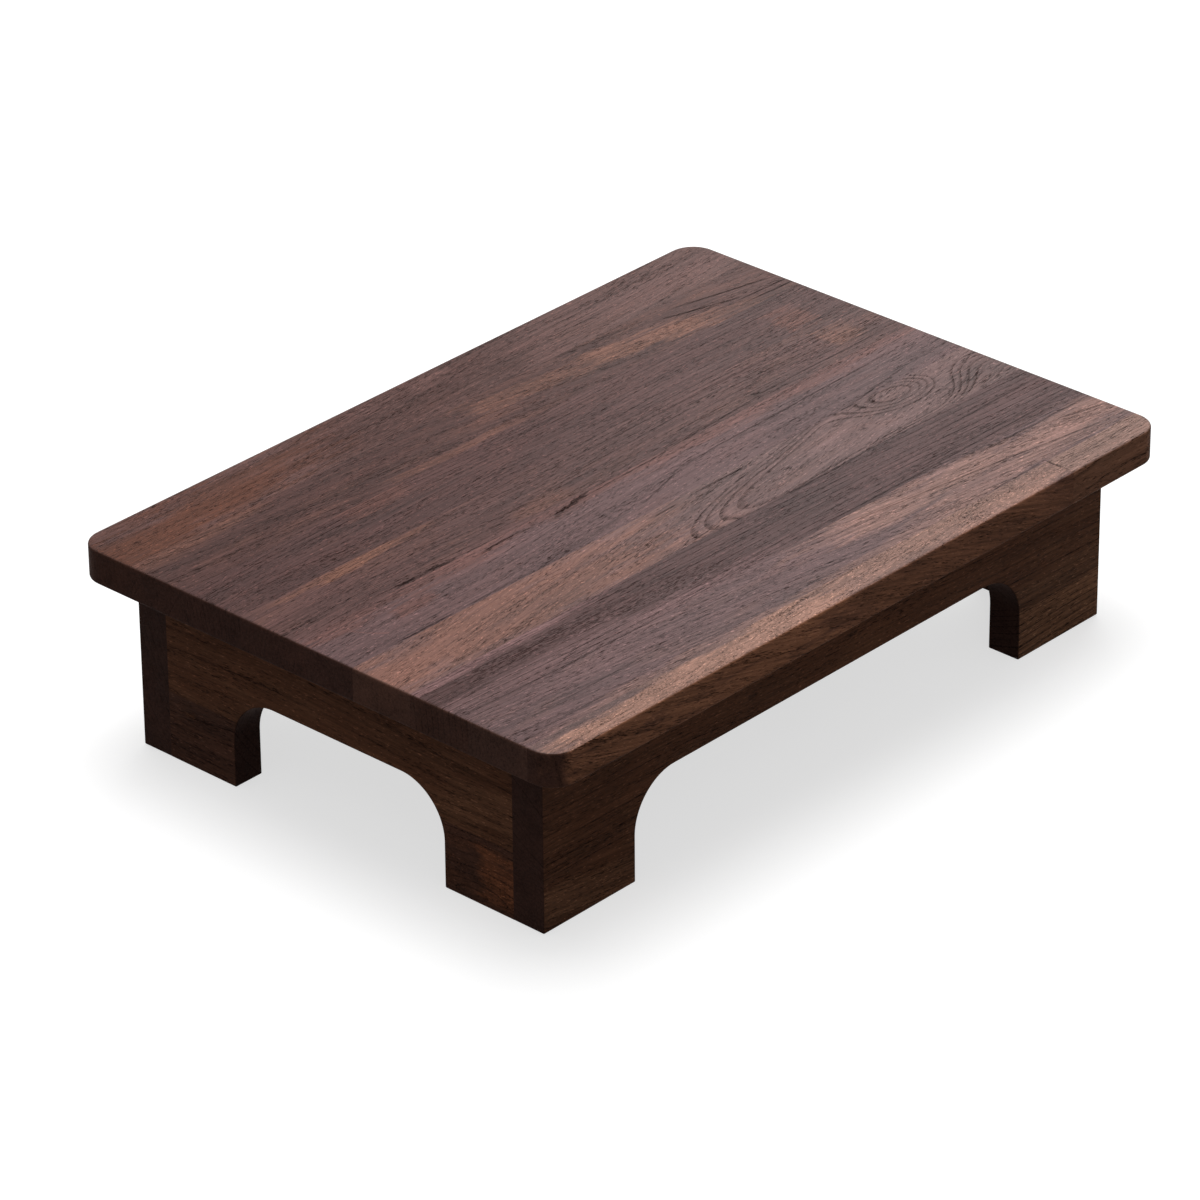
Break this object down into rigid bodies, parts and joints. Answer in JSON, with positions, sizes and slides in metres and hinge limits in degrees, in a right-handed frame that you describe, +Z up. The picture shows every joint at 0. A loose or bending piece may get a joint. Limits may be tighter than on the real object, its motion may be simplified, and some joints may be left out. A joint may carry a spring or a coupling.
{
  "type": "low floor table",
  "caption": "Low rectangular wooden floor table: thick edge-glued top with rounded corners on a frame of aprons cut into flat arches that form bracket feet.",
  "frame": {"origin": "on the floor under the middle of the top", "axes": "+X along the table's length, +Y across it from the front to the back, +Z up"},
  "size_m": [0.5, 0.3524, 0.124],
  "materials": {
    "top_wood": "dark brown stained, satin, wire-brushed grain",
    "apron_wood": "dark brown stained, satin",
    "block_wood": "sawn, thinly stained",
    "dowel_wood": "raw hardwood",
    "screw_steel": "zinc plated"
  },
  "bodies": {
    "root": {"top_stave_1": "top_wood", "top_stave_2": "top_wood", "top_stave_3": "top_wood", "top_stave_4": "top_wood", "top_stave_5": "top_wood", "top_stave_6": "top_wood", "top_stave_7": "top_wood", "top_stave_8": "top_wood", "front_stave_left": "top_wood", "front_stave_right": "top_wood", "front_apron_rail": "apron_wood", "front_apron_left_foot": "apron_wood", "front_apron_right_foot": "apron_wood", "back_apron_rail": "apron_wood", "back_apron_left_foot": "apron_wood", "back_apron_right_foot": "apron_wood", "left_apron_rail": "apron_wood", "left_apron_front_foot": "apron_wood", "left_apron_back_foot": "apron_wood", "right_apron_rail": "apron_wood", "right_apron_front_foot": "apron_wood", "right_apron_back_foot": "apron_wood", "front_left_corner_block": "block_wood", "front_left_dowel_low": "dowel_wood", "front_left_dowel_high": "dowel_wood", "front_left_end_apron_screw": "screw_steel", "front_left_long_apron_screw": "screw_steel", "front_left_top_screw": "screw_steel", "front_right_corner_block": "block_wood", "front_right_dowel_low": "dowel_wood", "front_right_dowel_high": "dowel_wood", "front_right_end_apron_screw": "screw_steel", "front_right_long_apron_screw": "screw_steel", "front_right_top_screw": "screw_steel", "back_left_corner_block": "block_wood", "back_left_dowel_low": "dowel_wood", "back_left_dowel_high": "dowel_wood", "back_left_end_apron_screw": "screw_steel", "back_left_long_apron_screw": "screw_steel", "back_left_top_screw": "screw_steel", "back_right_corner_block": "block_wood", "back_right_dowel_low": "dowel_wood", "back_right_dowel_high": "dowel_wood", "back_right_end_apron_screw": "screw_steel", "back_right_long_apron_screw": "screw_steel", "back_right_top_screw": "screw_steel"}
  },
  "joints": []
}
